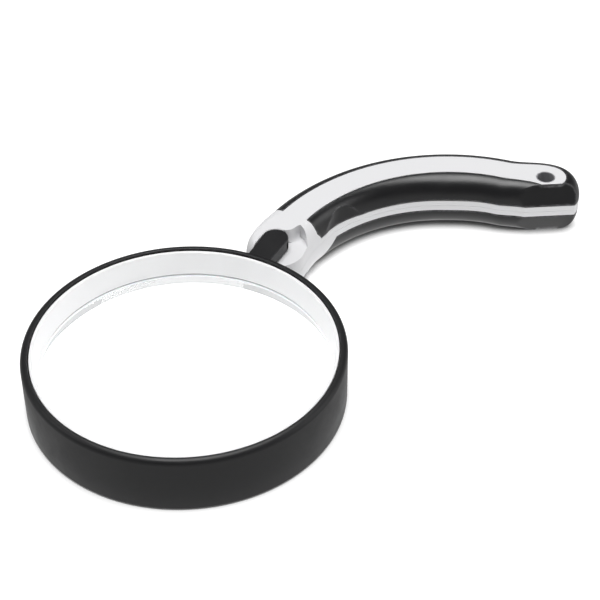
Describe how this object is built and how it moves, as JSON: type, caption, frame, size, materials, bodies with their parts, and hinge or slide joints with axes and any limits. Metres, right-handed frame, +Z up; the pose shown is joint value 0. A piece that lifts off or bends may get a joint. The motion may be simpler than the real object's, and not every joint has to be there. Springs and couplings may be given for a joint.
{
  "type": "folding magnifying glass",
  "caption": "Folding magnifying glass: a round lens in a black frame, with a curved black and white handle that swings in round the frame and locks with a button.",
  "frame": {"origin": "middle of the bottom of the whole glass, which lies flat with the handle open", "axes": "+Z up along the lens axis and the hinge pin, +X from the lens towards the hinge and the handle, +Y to the left seen along +X"},
  "size_m": [0.1982, 0.1326, 0.02],
  "materials": {
    "frame_plastic": "black moulded plastic, satin",
    "liner_white": "white moulded plastic, glossy",
    "lens_acrylic": "clear polished acrylic",
    "gasket_silicone": "pale soft silicone",
    "hinge_steel": "turned steel, bright",
    "insert_brass": "turned brass",
    "washer_nylon": "natural nylon",
    "spring_steel": "spring steel, bright",
    "ball_steel": "polished steel ball",
    "shell_white": "white moulded plastic, semi-gloss",
    "grip_rubber": "black soft-touch moulding, matte",
    "eyelet_black": "dark plastic sleeve",
    "screw_steel": "zinc-plated steel screws",
    "button_black": "black moulded plastic",
    "lock_steel": "stamped steel"
  },
  "bodies": {
    "lens_and_frame": {"lens_frame": "frame_plastic", "upper_liner": "liner_white", "lower_liner": "liner_white", "lens": "lens_acrylic", "lens_gasket": "gasket_silicone", "hinge_screw": "hinge_steel", "threaded_insert": "insert_brass", "hinge_bush": "hinge_steel", "thrust_washer": "washer_nylon", "wave_washer": "spring_steel"},
    "handle": {"handle_shell_upper": "shell_white", "handle_shell_lower": "shell_white", "grip_upper": "grip_rubber", "grip_lower": "grip_rubber", "lanyard_eyelet": "eyelet_black", "case_screw_1": "screw_steel", "case_screw_2": "screw_steel", "case_screw_3": "screw_steel", "detent_ball": "ball_steel", "detent_spring": "spring_steel", "pawl_pin": "lock_steel", "button_spring": "spring_steel"},
    "button": {"release_button": "button_black"},
    "pawl": {"lock_pawl": "lock_steel"}
  },
  "joints": [
    {"name": "handle_fold", "type": "hinge", "parent": "lens_and_frame", "child": "handle", "pos_m": [0.01326, 0.01527, 0.01], "axis": [0, 0, 1], "range_deg": [-97, 0]},
    {"name": "button_press", "type": "slide", "parent": "handle", "child": "button", "axis": [0, -1, 0], "range_m": [0, 0.001], "stiffness_N_per_m": 1500, "springref_m": -0.0006, "deforming": ["button_spring"]},
    {"name": "pawl_turn", "type": "hinge", "parent": "handle", "child": "pawl", "pos_m": [0.02166, 0.01427, 0.0173], "axis": [0, 0, 1], "range_deg": [-23, 0]}
  ],
  "couplings": [
    {"joint": "pawl_turn", "follows": "button_press", "rad_per_m": -400}
  ]
}
